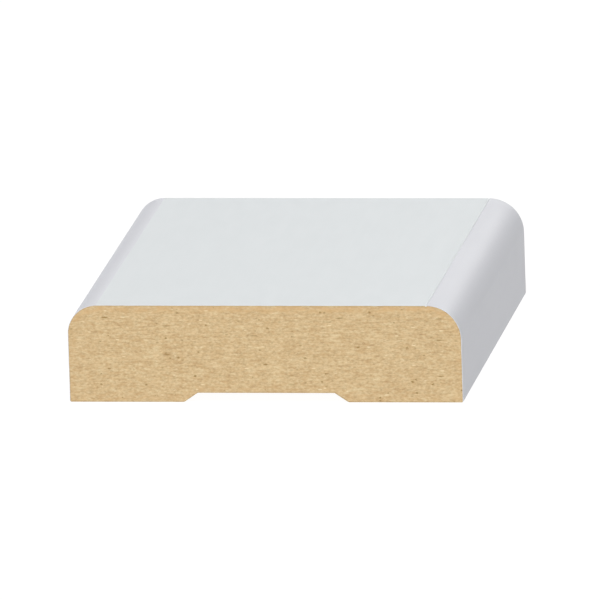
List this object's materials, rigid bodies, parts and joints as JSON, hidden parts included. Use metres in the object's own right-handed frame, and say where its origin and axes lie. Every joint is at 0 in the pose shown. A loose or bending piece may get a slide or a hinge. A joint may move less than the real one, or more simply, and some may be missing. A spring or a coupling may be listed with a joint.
{
  "type": "casing moulding",
  "caption": "Short length of flat door and window casing with rounded face edges and a shallow relief along its back, primed white on face and edges, with bare fibreboard back and ends.",
  "frame": {"origin": "under the middle of the piece, in the plane of the back's flat lands, which is what it lies on", "axes": "+Z from the back to the face, +X across the face from the tighter round to the wider one, -Y along the run to the cut end that the picture shows"},
  "size_m": [0.0636, 0.0762, 0.0159],
  "materials": {
    "primed_mdf": "matt white primer on the face, rounds and edges, bare sawn fibreboard on the ends and bare machined fibreboard on the back"
  },
  "bodies": {
    "root": {"casing_moulding": "primed_mdf"}
  },
  "joints": []
}
